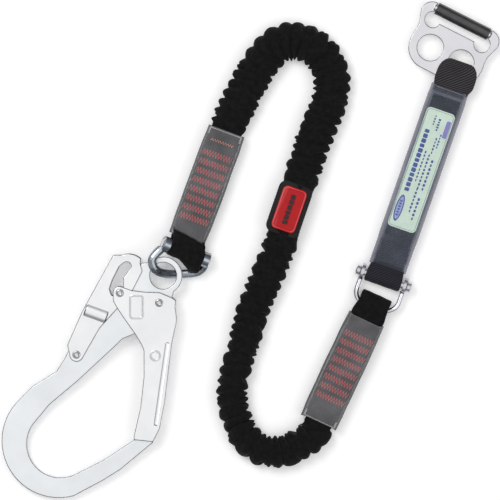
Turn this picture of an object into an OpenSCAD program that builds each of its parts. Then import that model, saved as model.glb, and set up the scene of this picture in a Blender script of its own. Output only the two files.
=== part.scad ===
// Shock absorbing lanyard, laid out flat: scaffold hook, twisted shackle, gathered elastic strap,
// bow shackle, webbing shock absorber and belt plate. Millimetres, +Z up, resting on Z = 0.

/* [Scaffold hook] */
// Thickness of the forged hook body
hook_thickness = 7; // [6:0.5:8]
// Radius of the hook's inner bend
bend_inner_radius = 30.4; // [28:0.2:32]
// Radius of the hook's outer bend
bend_outer_radius = 51.3; // [49:0.2:53]
// Radius of the hole in the hook's eye
eye_hole_radius = 12; // [11.5:0.1:12.5]
// Outer radius of the hook's eye
eye_outer_radius = 17.1; // [16.5:0.1:17.5]
// Sheet thickness of the gate
gate_sheet = 1.4; // [1:0.1:1.6]
// Sheet thickness of the safety lever
lever_sheet = 1.2; // [1:0.1:1.3]
// Shaft radius of the three rivets
rivet_radius = 2.5; // [2:0.1:3]

/* [Shackles] */
// Bar radius of the hook's twisted shackle
twisted_bar_radius = 4; // [3.5:0.1:4]
// Pin radius of the hook's twisted shackle
twisted_pin_radius = 4.5; // [4:0.1:5]
// Bar radius of the absorber's bow shackle
bow_bar_radius = 2.25; // [2:0.05:2.3]
// Pin radius of the absorber's bow shackle
bow_pin_radius = 3.5; // [3:0.1:4]

/* [Strap] */
// Length of each clear cover over the stitched strap ends
cover_length = 103; // [98:1:104]
// Width of each clear cover
cover_width = 34.2; // [34:0.2:35]
// Width of the stitched webbing
strap_width = 31; // [30:0.5:31.5]
// Half width of the gathered sleeve at its widest
sleeve_half_width = 16; // [14:0.5:17]
// Half height of the gathered sleeve
sleeve_half_height = 9; // [8:0.5:9]

/* [Shock absorber] */
// Length of the absorber's clear cover
absorber_cover_length = 167; // [160:1:168]
// Width of the absorber's clear cover across its welded edges
absorber_cover_width = 36; // [35:0.5:36]
// Length of the folded tear webbing
pack_length = 131; // [120:1:133]
// Width of the folded tear webbing
pack_width = 31; // [28:0.5:32]

/* [Belt plate] */
// Thickness of the stamped plate
plate_thickness = 4; // [3:0.5:4.5]
// Radius of the plate's two round holes
plate_hole_radius = 11.8; // [11.2:0.1:12]
// Length of the roller on the belt bar
roller_length = 52.4; // [50:0.2:53]
// Outer radius of the roller
roller_radius = 5.75; // [5.3:0.05:6]

/* [Hidden] */
$fn = 64;

running_gap = 0.06;
seat_gap = 0.02;
hair = 0.01;

// Heights of the flat parts' middle planes above the surface
strap_height = 7.6;
eye_height = 13;

// Where the parts lie: the hook's eye, both strap ends, both shackle pins
eye_at = [-77.3, -22.7];
hook_lean_direction = 57.7;
hook_lean = 2.4;
hook_end_at = [-56.3, 10.7];
hook_end_turn = -20.3;
hook_pin_at = [-57.5, -1.5, 14.5];
hook_pin_turn = -21.5;
hook_pin_tilt = 18;
absorber_end_at = [105.5, -61.4];
absorber_end_turn = -25;
absorber_pin_at = [120.5, -25.4];
absorber_turn = -19.3;

// Pivots of the hook, from the centre of its eye
gate_pivot = [-3.5, -24.1];
guide_rivet = [-38.7, -15.3];
lever_pivot = [-77.8, -70.8];
bend_outer_centre = [-94, -148.5];
bend_inner_centre = [-92.3, -151.2];
pivot_boss_radius = 10.5;
pivot_end_radius = 6.3;

// Layers of the hook outwards from its middle plane: body, lever walls, gate walls, rivet heads
body_half = hook_thickness / 2;
lever_inner = body_half + 0.3;
lever_outer = lever_inner + lever_sheet;
gate_inner = lever_outer + 0.3;
gate_outer = gate_inner + gate_sheet;
head_radius = 3.6;
head_height = 1.2;

// Lanyard end dimensions
cover_half_height = 7.3;
cover_wall = 0.8;
strap_half_height = 4.5;
row_count = 8;
row_pitch = 8.6;
row_first = 16;
zigzag_count = 13;
zigzag_height = 5.6;
thread_width = 1;
thread_height = 0.6;

// Twisted shackle
twisted_half = 19.5;
twisted_boss_radius = 7.2;
twisted_boss_thickness = 6;
roll_radius = 8.8;

// Bow shackle
bow_half = 20;
bow_depth = 27;
bow_corner = 11;
bow_arm_start = 5.5;
bow_eye_radius = 7.5;
bow_eye_thickness = 3;
bow_head_radius = 4.65;
bow_head_height = 4.6;
loop_radius = 7.6;

// Absorber, measured from the bow shackle's pin along the absorber
absorber_cover_start = 10;
absorber_cover_half = 7.3;
absorber_wall = 0.8;
pack_start = 40.5;
fold_sheet = 2;
fold_pitch = 2.2;
fold_count = 5;
layer_gap = 0.3;
plate_hole_at = [1.5, 205.6];
upper_strap_width = 20;
upper_strap_sheet = 2.5;

// Belt plate, symmetric about its own Y axis
hole_spacing = 30.7;
ear_radius = 19.8;
shoulder_at = [28, 28.3];
shoulder_radius = 10.5;
slot_ear_at = [24.7, 23.5];
slot_ear_radius = 7.2;
slot_floor = 22.6;
bar_at = 34.3;
bar_radius = 3.45;
plate_turn = -26.9;

// Route of the gathered strap between its covers, round the bends it lies in
route_points = [
    [-8, 135], [-1, 150], [7, 163], [16, 176], [27, 185], [40, 188], [53, 185], [65, 176], [72, 163],
    [74, 147], [71, 132], [65, 116], [58, 99], [48, 69], [37, 37], [28, 7], [19, -16], [11, -34],
    [3, -55], [-3, -76], [-9, -97], [-15, -117], [-16, -131], [-12, -148], [-4, -167], [8, -178],
    [22, -181], [35, -179], [46, -173]
];
sleeve_height = 9;
sleeve_wall = 2;
core_half_width = 7;
core_half_height = 2.5;

// Route of the twisted shackle's bar from its left eye to its right eye, in the pin's plan frame
twisted_route = [
    [-18.5, 0, 20.5], [-22.2, -7.5, 22], [-25, -15.5, 22.8], [-23.8, -20, 22.2], [-20.5, -23.6, 20.8],
    [-15.5, -25.2, 15.8], [-9, -24.5, 10.8], [-3, -22.6, 6.4], [2, -20.4, 4.4], [9, -17.2, 4.3],
    [15, -14, 4.3], [19, -9.5, 5.5], [19.8, -4.5, 7.5], [18.5, 0, 8.6]
];

// ---------- curves ----------

function arc_points(centre, radius, from, to, count) = [
    for (i = [0 : count])
        let (a = from + (to - from) * i / count)
        centre + radius * [cos(a), sin(a)]
];

function unit(v) = v / norm(v);

// One point of a smooth curve between p1 and p2
function curve_point(p0, p1, p2, p3, t) =
    0.5 * (2 * p1 + (p2 - p0) * t + (2 * p0 - 5 * p1 + 4 * p2 - p3) * t * t
        + (3 * p1 - p0 - 3 * p2 + p3) * t * t * t);

// A smooth curve through all the points, with a number of steps from each to the next
function smooth(points, steps) =
    let (
        last = len(points) - 1,
        padded = concat([2 * points[0] - points[1]], points, [2 * points[last] - points[last - 1]])
    )
    concat(
        [
            for (i = [0 : last - 1], j = [0 : steps - 1])
                curve_point(padded[i], padded[i + 1], padded[i + 2], padded[i + 3], j / steps)
        ],
        [points[last]]
    );

function direction_at(path, i) =
    unit(path[min(i + 1, len(path) - 1)] - path[max(i - 1, 0)]);

// A ring of points across the path, half_width wide and half_height high
function ring(path, i, half_width, half_height, sides) =
    let (
        along = direction_at(path, i),
        side = unit(cross(along, [0, 0, 1])),
        up = cross(side, along)
    )
    [
        for (k = [0 : sides - 1])
            let (a = 360 * k / sides)
            path[i] + side * half_width * cos(a) + up * half_height * sin(a)
    ];

function skin_faces(rings, sides, first, flip) = [
    for (i = [0 : rings - 2], k = [0 : sides - 1])
        let (
            a = first + i * sides + k,
            b = first + i * sides + (k + 1) % sides,
            quad = [a, b, b + sides, a + sides]
        )
        flip ? [quad[3], quad[2], quad[1], quad[0]] : quad
];

// A solid bar along the path; widths and heights hold one half size for each ring
module solid_sweep(path, widths, heights, sides) {
    rings = len(path);
    points = [for (i = [0 : rings - 1]) each ring(path, i, widths[i], heights[i], sides)];
    start_cap = [[for (k = [0 : sides - 1]) sides - 1 - k]];
    end_cap = [[for (k = [0 : sides - 1]) (rings - 1) * sides + k]];
    polyhedron(points, concat(skin_faces(rings, sides, 0, false), start_cap, end_cap));
}

// A hollow tube along the path with one wall thickness
module hollow_sweep(path, widths, heights, wall, sides) {
    rings = len(path);
    inner = rings * sides;
    points = concat(
        [for (i = [0 : rings - 1]) each ring(path, i, widths[i], heights[i], sides)],
        [for (i = [0 : rings - 1]) each ring(path, i, widths[i] - wall, heights[i] - wall, sides)]
    );
    start_cap = [
        for (k = [0 : sides - 1])
            let (n = (k + 1) % sides)
            [n, k, inner + k, inner + n]
    ];
    end_cap = [
        for (k = [0 : sides - 1])
            let (n = (k + 1) % sides, base = (rings - 1) * sides)
            [base + k, base + n, inner + base + n, inner + base + k]
    ];
    polyhedron(
        points,
        concat(
            skin_faces(rings, sides, 0, false),
            skin_faces(rings, sides, inner, true),
            start_cap,
            end_cap
        )
    );
}

// ---------- small shared shapes ----------

// A slab in the XY plane's own outline, centred on its middle plane
module layer(half) {
    linear_extrude(2 * half, center = true) children();
}

// The children once above the middle plane and once mirrored below it
module both_faces() {
    children();
    mirror([0, 0, 1]) children();
}

module rounded_box(width, length, height, radius) {
    linear_extrude(height)
        union() {
            square([width - 2 * radius, length], center = true);
            square([width, length - 2 * radius], center = true);
            for (x = [-1, 1], y = [-1, 1])
                translate([x * (width / 2 - radius), y * (length / 2 - radius)]) circle(radius);
        }
}

// Rivet along Z with a rolled, dimpled head at each end
module rivet(half_length) {
    cylinder(r = rivet_radius, h = 2 * half_length, center = true);
    both_faces()
        translate([0, 0, half_length])
            rotate_extrude()
                polygon([
                    [0, 0], [head_radius, 0], [head_radius, head_height * 0.5],
                    [head_radius * 0.85, head_height * 0.85], [head_radius * 0.66, head_height],
                    [head_radius * 0.5, head_height * 0.55], [0, head_height * 0.5]
                ]);
}

module across_x(radius, from, to, $fn = $fn) {
    translate([from, 0, 0]) rotate([0, 90, 0]) cylinder(r = radius, h = to - from);
}

// ---------- places ----------

module at_eye() {
    translate([eye_at[0], eye_at[1], eye_height])
        rotate([0, 0, hook_lean_direction])
            rotate([0, -hook_lean, 0])
                rotate([0, 0, -hook_lean_direction])
                    children();
}

module at_hook_pin() {
    translate(hook_pin_at) rotate([0, 0, hook_pin_turn]) rotate([0, hook_pin_tilt, 0]) children();
}

module at_hook_end() {
    translate([hook_end_at[0], hook_end_at[1], strap_height]) rotate([0, 0, hook_end_turn]) children();
}

module at_absorber_end() {
    translate([absorber_end_at[0], absorber_end_at[1], strap_height])
        rotate([0, 0, absorber_end_turn])
            children();
}

module at_absorber() {
    translate([absorber_pin_at[0], absorber_pin_at[1], strap_height])
        rotate([0, 0, absorber_turn])
            children();
}

// The plate's own frame: middle between its round holes, belt bar on +Y
module at_plate() {
    at_absorber()
        translate([plate_hole_at[0], plate_hole_at[1], 0])
            rotate([0, 0, plate_turn - absorber_turn])
                translate([-hole_spacing / 2, 0, 0])
                    children();
}

// ---------- scaffold hook ----------

body_outline = concat(
    [[-12.4, 12.2], [-19.6, 11.2], [-27.5, -7.7], [-33.8, -20.3], [-51.8, -32.9], [-69.8, -52.7], [-82.4, -61.7],
        [-85.1, -67.5], [-89, -75.2], [-96, -86], [-117.7, -99.5]],
    arc_points(bend_outer_centre, bend_outer_radius, 138, 285, 24),
    [[-54.5, -184.1], [-38.7, -174.2], [-20.3, -158.9], [-9.5, -149.9], [-8.8, -144.5],
        [-12.5, -140.5], [-18.5, -140.5], [-24.5, -146.5], [-54.5, -166.1]],
    arc_points(bend_inner_centre, bend_inner_radius, -62, -224, 24),
    [[-102.2, -115.7], [-77.4, -95], [-46.4, -66.2], [-36.5, -56.7], [-24.8, -51.8], [1.8, -33.2],
        [7, -24.1], [9.4, -14.3]]
);

module hook_body() {
    color("gainsboro")
        at_eye()
            difference() {
                layer(body_half)
                    union() {
                        polygon(body_outline);
                        circle(eye_outer_radius);
                        translate(gate_pivot) circle(pivot_boss_radius);
                    }
                cylinder(r = eye_hole_radius, h = 2 * hook_thickness, center = true);
                for (at = [gate_pivot, lever_pivot])
                    translate(at) cylinder(r = rivet_radius, h = 2 * hook_thickness, center = true);
            }
}

gate_spine = [
    [11.7, -22.1], [11, -27.5], [12.5, -39.6], [7.7, -61.7], [1.4, -113.9], [-3.2, -137.3]
];
gate_outline = concat(
    arc_points([-38.9, -15.6], 6.1, 190, 75, 8),
    [[-27.8, -13.1], [-15.8, -14.5], [-3.2, -14.9], [7.7, -19.4]],
    gate_spine,
    [[-9.2, -149], [-26.3, -147.2], [-26.3, -143.6], [-20.3, -117.5], [-17.3, -90.5], [-17.3, -67.1],
        [-19.4, -61.7], [-24.8, -52.7], [-34, -39.6], [-41, -29.3], [-44.8, -22.6]]
);
// Everything inside the folded sheet: open to the left, above and below, closed by the spine
gate_hollow = concat(
    [[-60, 0], [11.7 - gate_sheet, 0]],
    [for (p = gate_spine) p - [gate_sheet, 0]],
    [[-3.2 + gate_sheet, -138.2], [5, -138.2], [5, -160], [-60, -160]]
);

bead_from = [4, -60];
bead_to = [-6.6, -134];
bead_radius = 3;
bead_height = 0.6;
panel_at = [-23.8, -27.9];
panel_width = 12;
panel_length = 21;
disc_at = [-6.9, -71.6];
disc_radius = 4.6;
mark_height = 0.3;

// Stiffening bead pressed along the gate's fold
module gate_bead() {
    run = bead_to - bead_from;
    difference() {
        translate([bead_from[0], bead_from[1], gate_outer + bead_height - bead_radius])
            rotate([0, 0, atan2(run[1], run[0])])
                across_x(bead_radius, 0, norm(run));
        layer(gate_inner + hair) square(400, center = true);
    }
}

// Plain raised panel and disc on the gate's upper face
module gate_marks() {
    translate([panel_at[0], panel_at[1], gate_outer - hair])
        difference() {
            rounded_box(panel_width, panel_length, mark_height, 2.5);
            translate([0, 0, -1]) rounded_box(panel_width - 1.6, panel_length - 1.6, 3, 1.8);
        }
    translate([disc_at[0], disc_at[1], gate_outer - hair])
        difference() {
            cylinder(r = disc_radius, h = mark_height);
            translate([0, 0, -1]) cylinder(r = disc_radius - 0.9, h = 3);
        }
}

module hook_gate() {
    color("white")
        at_eye()
            difference() {
                union() {
                    difference() {
                        layer(gate_outer) polygon(gate_outline);
                        layer(gate_inner) polygon(gate_hollow);
                    }
                    gate_bead();
                    gate_marks();
                }
                translate(gate_pivot)
                    cylinder(r = rivet_radius + running_gap, h = 4 * gate_outer, center = true);
                translate(guide_rivet) cylinder(r = rivet_radius, h = 4 * gate_outer, center = true);
            }
}

module gate_pivot_rivet() {
    color("silver") at_eye() translate(gate_pivot) rivet(gate_outer + running_gap);
}

module gate_guide_rivet() {
    color("silver") at_eye() translate(guide_rivet) rivet(gate_outer);
}

// Washers that centre the gate on the body
module gate_washers() {
    color("darkgray")
        at_eye()
            translate(gate_pivot)
                both_faces()
                    translate([0, 0, body_half])
                        difference() {
                            cylinder(r = 4.4, h = gate_inner - body_half - running_gap);
                            translate([0, 0, -1]) cylinder(r = rivet_radius, h = 4);
                        }
}

spring_coil = 6;
spring_wire = 0.6;
spring_height = (body_half + gate_inner) / 2;
gate_leg_turn = 7;
gate_leg_length = 24;
body_leg_turn = -128;
body_leg_length = 18;

// Torsion spring round the gate's pivot with one leg on the gate and one on the body
module gate_spring() {
    color("dimgray")
        at_eye()
            translate([gate_pivot[0], gate_pivot[1], spring_height]) {
                difference() {
                    cylinder(r = spring_coil + spring_wire, h = 2 * spring_wire, center = true);
                    cylinder(r = spring_coil - spring_wire, h = 4, center = true);
                }
                for (leg = [[gate_leg_turn, gate_leg_length], [body_leg_turn, body_leg_length]])
                    rotate([0, 0, leg[0]])
                        translate([spring_coil - spring_wire + hair, -leg[1], -spring_wire])
                            cube([2 * spring_wire - 2 * hair, leg[1], 2 * spring_wire]);
            }
}

lever_spine = [[-44.8, 18.5], [-72.7, -32], [-83.8, -57]];
lever_outline = concat(
    lever_spine,
    [[-86, -62.1]],
    arc_points(lever_pivot, pivot_end_radius, 180, 338, 12),
    [[-57.2, -47.3], [-41, -29.3], [-27, -12.5], [-18.5, 4.1], [-20.5, 11.5]],
    arc_points([-31, 4], 15.8, 45, 112, 8)
);
// Everything inside the folded sheet: open to the right, closed by the spine
lever_hollow = [
    [-44.8 + lever_sheet, 30], [-44.8 + lever_sheet, 18.5], [-72.7 + lever_sheet, -32],
    [-83.8 + lever_sheet, -57], [-95, -57], [-95, -90], [-5, -90], [-5, 30]
];
// The slot that the guide rivet runs in, as seen past the gate's corner
lever_slot = concat(
    [[-46.4, -17.2], [-42, -19.6], [-35.6, -18.5], [-35.8, -2]],
    arc_points([-32.6, 8.4], 4.1, -10, 135, 8),
    [[-39.3, 8.4], [-45.6, -4.1], [-48.2, -11.8]]
);
rib_radius = 9.5;
rib_height = 1.6;
rib_length = 20;
rib_turn = -20;
rib_at = [-60.2, -33.9];

module safety_lever() {
    color("whitesmoke")
        at_eye() {
            difference() {
                layer(lever_outer) polygon(lever_outline);
                layer(lever_inner) polygon(lever_hollow);
                layer(2 * lever_outer) polygon(lever_slot);
                translate(lever_pivot)
                    cylinder(r = rivet_radius + running_gap, h = 4 * lever_outer, center = true);
            }
            difference() {
                intersection() {
                    translate([rib_at[0], rib_at[1], lever_outer + rib_height - rib_radius])
                        rotate([0, 0, rib_turn])
                            across_x(rib_radius, -rib_length / 2, rib_length / 2);
                    layer(3 * lever_outer) polygon(lever_outline);
                }
                translate([0, 0, lever_inner + hair - 100])
                        layer(100) square(400, center = true);
            }
        }
}

module lever_pivot_rivet() {
    color("silver") at_eye() translate(lever_pivot) rivet(lever_outer + running_gap);
}

// Leaf spring in the lever's channel, bowed from the body's back towards the lever's spine
module lever_spring() {
    color("dimgray")
        at_eye()
            layer(3)
                polygon([
                    [-79.6, -58.5], [-74.5, -49], [-67, -35], [-57, -23], [-56.3, -23.6], [-66.2, -35.5],
                    [-73.7, -49.4], [-78.8, -58.4]
                ]);
}

// ---------- twisted shackle ----------

module hook_shackle_bow() {
    path = smooth(twisted_route, 3);
    last = len(path) - 1;
    radii = [for (i = [0 : last]) twisted_bar_radius];
    color("slategray")
        difference() {
            union() {
                translate([hook_pin_at[0], hook_pin_at[1], 0])
                    rotate([0, 0, hook_pin_turn])
                        solid_sweep(path, radii, radii, 12);
                at_hook_pin()
                    for (side = [-1, 1])
                        translate([side * twisted_half, 0, 0])
                            across_x(
                                twisted_boss_radius,
                                -twisted_boss_thickness / 2,
                                twisted_boss_thickness / 2
                            );
            }
            at_hook_pin() across_x(twisted_pin_radius + seat_gap, -40, 40);
        }
}

module hook_shackle_pin() {
    reach = twisted_half + twisted_boss_thickness / 2;
    color("rosybrown")
        at_hook_pin() {
            across_x(twisted_pin_radius, -reach, reach);
            for (side = [-1, 1])
                translate([side * reach, 0, 0])
                    rotate([0, side * 90, 0])
                        cylinder(r1 = twisted_pin_radius, r2 = twisted_pin_radius - 1, h = 0.8);
        }
}

// ---------- strap ends ----------

// Stitched webbing inside a clear cover, from the loop's side (Y = 0) away along -Y
module stitched_webbing() {
    translate([-strap_width / 2, -cover_length, -strap_half_height])
        cube([strap_width, cover_length + hair, 2 * strap_half_height]);
}

// Clear tube with an oblong section, from Y = 0 away along -Y
module clear_cover() {
    inner_width = cover_width - 2 * cover_wall;
    inner_height = 2 * (cover_half_height - cover_wall);
    rotate([90, 0, 0])
        difference() {
            rounded_box(cover_width, 2 * cover_half_height, cover_length, 3);
            translate([0, 0, -1]) rounded_box(inner_width, inner_height, cover_length + 2, 2.2);
        }
}

// One row of zigzag bar tacking along X
module zigzag_row() {
    step = (strap_width - 4) / (2 * zigzag_count);
    upper = [
        for (i = [0 : 2 * zigzag_count])
            [(i - zigzag_count) * step, (i % 2) * zigzag_height + thread_width]
    ];
    lower = [
        for (i = [2 * zigzag_count : -1 : 0])
            [(i - zigzag_count) * step, (i % 2) * zigzag_height - thread_width]
    ];
    linear_extrude(thread_height) polygon(concat(upper, lower));
}

module stitch_rows() {
    for (row = [0 : row_count - 1])
        translate([0, -row_first - row * row_pitch - zigzag_height / 2, strap_half_height])
            zigzag_row();
}

neck_width = 27;
neck_depth = 0.5;
roll_half_width = 15.2;

module hook_end_loop() {
    color("black")
        difference() {
            union() {
                at_hook_end() mirror([0, 1, 0]) stitched_webbing();
                hull() {
                    at_hook_end()
                        translate([-neck_width / 2, -neck_depth, -strap_half_height])
                            cube([neck_width, neck_depth + hair, 2 * strap_half_height]);
                    at_hook_pin() across_x(roll_radius, -roll_half_width, roll_half_width, $fn = 32);
                }
            }
            at_hook_pin() across_x(twisted_pin_radius + running_gap, -40, 40);
        }
}

module hook_end_stitching() {
    color("firebrick") at_hook_end() mirror([0, 1, 0]) stitch_rows();
}

module hook_end_cover() {
    color("gray", 0.5) at_hook_end() mirror([0, 1, 0]) clear_cover();
}

loop_roll_at = 16;
loop_slot_radius = 5.6;
loop_slot_start = 13;

module absorber_end_loop() {
    color("black")
        at_absorber_end()
            difference() {
                union() {
                    stitched_webbing();
                    hull() {
                        translate([-roll_half_width, 0, -strap_half_height])
                            cube([2 * roll_half_width, neck_depth, 2 * strap_half_height]);
                        translate([0, loop_roll_at, 0])
                            across_x(loop_radius, -roll_half_width, roll_half_width, $fn = 32);
                    }
                }
                translate([0, loop_slot_start, 0]) across_x(loop_slot_radius, -40, 40);
                translate([0, loop_roll_at, 0]) across_x(loop_slot_radius, -40, 40);
                translate([-40, loop_slot_start, -loop_slot_radius])
                    cube([80, loop_roll_at - loop_slot_start, 2 * loop_slot_radius]);
            }
}

module absorber_end_stitching() {
    color("firebrick") at_absorber_end() stitch_rows();
}

module absorber_end_cover() {
    color("gray", 0.5) at_absorber_end() clear_cover();
}

// ---------- gathered strap ----------

hook_end_along = [-sin(hook_end_turn), cos(hook_end_turn)];
absorber_end_along = [-sin(absorber_end_turn), cos(absorber_end_turn)];
strap_start = hook_end_at + cover_length * hook_end_along;
strap_finish = absorber_end_at - cover_length * absorber_end_along;

function at_sleeve_height(p) = [p[0], p[1], sleeve_height];

strap_route = [
    for (p = concat(
        [strap_start + 3 * hook_end_along, strap_start + 15 * hook_end_along],
        route_points,
        [strap_finish - 12 * absorber_end_along, strap_finish - 3 * absorber_end_along]
    )) at_sleeve_height(p)
];
strap_path = concat(
    [at_sleeve_height(strap_start)],
    smooth(strap_route, 1),
    [at_sleeve_height(strap_finish)]
);

// Half width along the strap, narrowest in its lower bend
function strap_half_width(share) =
    sleeve_half_width * lookup(share, [[0, 1], [0.45, 0.94], [0.75, 0.78], [0.9, 0.82], [1, 0.9]]);

module elastic_sleeve() {
    last = len(strap_path) - 1;
    widths = [for (i = [0 : last]) strap_half_width(i / last)];
    heights = [for (i = [0 : last]) sleeve_half_height];
    color("black") hollow_sweep(strap_path, widths, heights, sleeve_wall, 12);
}

module elastic_core() {
    widths = [for (p = strap_path) core_half_width];
    heights = [for (p = strap_path) core_half_height];
    color("khaki") solid_sweep(strap_path, widths, heights, 8);
}

label_at = [35.6, 36.7];
label_turn = -19;
label_width = 22.3;
label_length = 40;
backing_margin = 4;
backing_thickness = 1;

module at_label(height) {
    translate([label_at[0], label_at[1], sleeve_height + sleeve_half_height + height])
        rotate([0, 0, label_turn])
            children();
}

module label_backing() {
    width = label_width + 2 * backing_margin;
    length = label_length + 2 * backing_margin;
    color("black") at_label(hair) rounded_box(width, length, backing_thickness, 7);
}

module label_plate() {
    color("crimson")
        at_label(backing_thickness + hair) {
            rounded_box(label_width, label_length, 0.8, 4.5);
            for (i = [-2 : 2])
                translate([0, i * 5.4, 0.8]) rounded_box(4, 4, 0.4, 1);
        }
}

// ---------- bow shackle ----------

// Half of the bow: eye beside the pin, straight arm, corner, half of the bottom bar
module half_bow() {
    straight = bow_depth - bow_corner;
    translate([bow_half, -straight, 0])
        rotate([-90, 0, 0])
            cylinder(r = bow_bar_radius, h = straight - bow_arm_start);
    translate([bow_half - bow_corner, -straight, 0])
        rotate([0, 0, -90])
            rotate_extrude(angle = 90)
                translate([bow_corner, 0])
                    circle(bow_bar_radius);
    translate([0, -bow_depth, 0]) across_x(bow_bar_radius, 0, bow_half - bow_corner);
    translate([bow_half, 0, 0])
        across_x(bow_eye_radius, -bow_eye_thickness / 2, bow_eye_thickness / 2);
}

module absorber_shackle_bow() {
    color("lightgray")
        at_bow()
            difference() {
                union() {
                    half_bow();
                    mirror([1, 0, 0]) half_bow();
                }
                across_x(bow_pin_radius + seat_gap, -40, 40);
            }
}

// The bow lies in line with the strap's end, its pin across the absorber's foot
module at_bow() {
    translate([absorber_pin_at[0], absorber_pin_at[1], strap_height])
        rotate([0, 0, absorber_turn])
            children();
}

module absorber_shackle_pin() {
    reach = bow_half + bow_eye_thickness / 2;
    color("silver")
        at_bow() {
            across_x(bow_pin_radius, -reach, reach);
            for (side = [-1, 1])
                translate([side * reach, 0, 0])
                    rotate([0, side * 90, 0])
                        rotate_extrude()
                            polygon([
                                [0, 0], [bow_head_radius - 0.8, 0], [bow_head_radius, 0.8],
                                [bow_head_radius, bow_head_height - 0.8],
                                [bow_head_radius - 0.8, bow_head_height], [0, bow_head_height]
                            ]);
        }
}

// ---------- shock absorber ----------

module absorber_lower_loop() {
    neck_at = absorber_cover_start;
    tail = pack_start - layer_gap;
    half = roll_half_width;
    color("black")
        at_absorber()
            difference() {
                union() {
                    hull() {
                        across_x(loop_radius, -half, half, $fn = 32);
                        translate([-half, neck_at - neck_depth, -strap_half_height])
                            cube([2 * half, neck_depth, 2 * strap_half_height]);
                    }
                    translate([-half, neck_at - hair, -strap_half_height])
                        cube([2 * half, tail - neck_at + hair, 2 * strap_half_height]);
                }
                across_x(bow_pin_radius + running_gap, -40, 40);
            }
}

module absorber_upper_loop() {
    start = pack_start + pack_length + layer_gap;
    gap_start = 179;
    gap_root = 4;
    root_half_width = 13.5;
    inner_half = plate_thickness / 2 + 2 * layer_gap;
    outer_half = inner_half + upper_strap_sheet;
    finish = plate_hole_at[1] + upper_strap_sheet / 2;
    color("black")
        at_absorber()
            translate([plate_hole_at[0], 0, 0])
                difference() {
                    union() {
                        translate([-root_half_width, start, -outer_half])
                            cube([2 * root_half_width, gap_start + gap_root - start, 2 * outer_half]);
                        translate([-upper_strap_width / 2, gap_start, -outer_half])
                            cube([upper_strap_width, finish - gap_start, 2 * outer_half]);
                    }
                    translate([-30, gap_start, -inner_half])
                        cube([60, finish - upper_strap_sheet - gap_start, 2 * inner_half]);
                }
}

// Tear webbing folded back and forth into a flat pack
module tear_webbing() {
    color("darkslategray")
        at_absorber()
            translate([0, pack_start, 0])
                for (i = [0 : fold_count - 1]) {
                    z = (i - (fold_count - 1) / 2) * fold_pitch;
                    translate([-pack_width / 2, fold_pitch, z - fold_sheet / 2])
                        cube([pack_width, pack_length - 2 * fold_pitch, fold_sheet]);
                    if (i < fold_count - 1)
                        translate([
                            -pack_width / 2,
                            i % 2 == 0 ? 0 : pack_length - fold_pitch - hair,
                            z - fold_sheet / 2
                        ])
                            cube([pack_width, fold_pitch + hair, fold_pitch + fold_sheet]);
                }
}

module absorber_cover() {
    body_width = absorber_cover_width - 2.4;
    inner_width = body_width - 2 * absorber_wall;
    inner_height = 2 * (absorber_cover_half - absorber_wall);
    color("slategray", 0.5)
        at_absorber()
            translate([0, absorber_cover_start + absorber_cover_length, 0])
                rotate([90, 0, 0])
                    difference() {
                        union() {
                            rounded_box(body_width, 2 * absorber_cover_half, absorber_cover_length, 3);
                            translate([-absorber_cover_width / 2, -0.7, 0])
                                cube([absorber_cover_width, 1.4, absorber_cover_length]);
                        }
                        translate([0, 0, -1])
                            rounded_box(inner_width, inner_height, absorber_cover_length + 2, 2.2);
                    }
}

module absorber_label() {
    top = (fold_count - 1) / 2 * fold_pitch + fold_sheet / 2;
    color("palegreen")
        at_absorber()
            translate([-0.5, 103.2, top])
                rounded_box(26.8, 112.6, 0.4, 4);
}

// ---------- belt plate ----------

plate_waist = 2.4;
plate_side = concat(
    arc_points([hole_spacing / 2, 0], ear_radius, -90, 0, 10),
    [
        for (i = [1 : 9])
            let (share = i / 10)
            [
                hole_spacing / 2 + ear_radius - plate_waist * pow(sin(180 * share), 2)
                    + share * (shoulder_at[0] + shoulder_radius - hole_spacing / 2 - ear_radius),
                share * shoulder_at[1]
            ]
    ],
    arc_points(shoulder_at, shoulder_radius, 0, 90, 10)
);
plate_outline = concat(
    plate_side,
    [for (i = [len(plate_side) - 1 : -1 : 0]) [-plate_side[i][0], plate_side[i][1]]]
);

module belt_plate() {
    color("lightgray")
        at_plate() {
            difference() {
                layer(plate_thickness / 2) polygon(plate_outline);
                for (side = [-1, 1])
                    translate([side * hole_spacing / 2, 0, 0])
                        cylinder(r = plate_hole_radius, h = 2 * plate_thickness, center = true);
                layer(plate_thickness)
                    union() {
                        for (side = [-1, 1])
                            translate([side * slot_ear_at[0], slot_ear_at[1]]) circle(slot_ear_radius);
                        translate([-slot_ear_at[0], slot_floor])
                            square([2 * slot_ear_at[0], 30]);
                        translate([-roller_length / 2 - 0.5, bar_at - roller_radius - 0.5])
                            square([roller_length + 1, 30]);
                    }
            }
            translate([0, bar_at, 0]) across_x(bar_radius, -shoulder_at[0], shoulder_at[0]);
        }
}

module roller_sleeve() {
    color("black")
        at_plate()
            translate([0, bar_at, 0])
                difference() {
                    across_x(roller_radius, -roller_length / 2, roller_length / 2);
                    across_x(bar_radius + running_gap, -40, 40);
                }
}

hook_body();
hook_gate();
gate_pivot_rivet();
gate_guide_rivet();
gate_washers();
gate_spring();
safety_lever();
lever_pivot_rivet();
lever_spring();
hook_shackle_bow();
hook_shackle_pin();
hook_end_loop();
hook_end_stitching();
hook_end_cover();
elastic_sleeve();
elastic_core();
label_backing();
label_plate();
absorber_end_loop();
absorber_end_stitching();
absorber_end_cover();
absorber_shackle_bow();
absorber_shackle_pin();
absorber_lower_loop();
absorber_upper_loop();
tear_webbing();
absorber_cover();
absorber_label();
belt_plate();
roller_sleeve();
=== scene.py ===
from math import cos, pi, radians, sin, sqrt

import bmesh
import bpy
from mathutils import Matrix, Vector, noise


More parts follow.
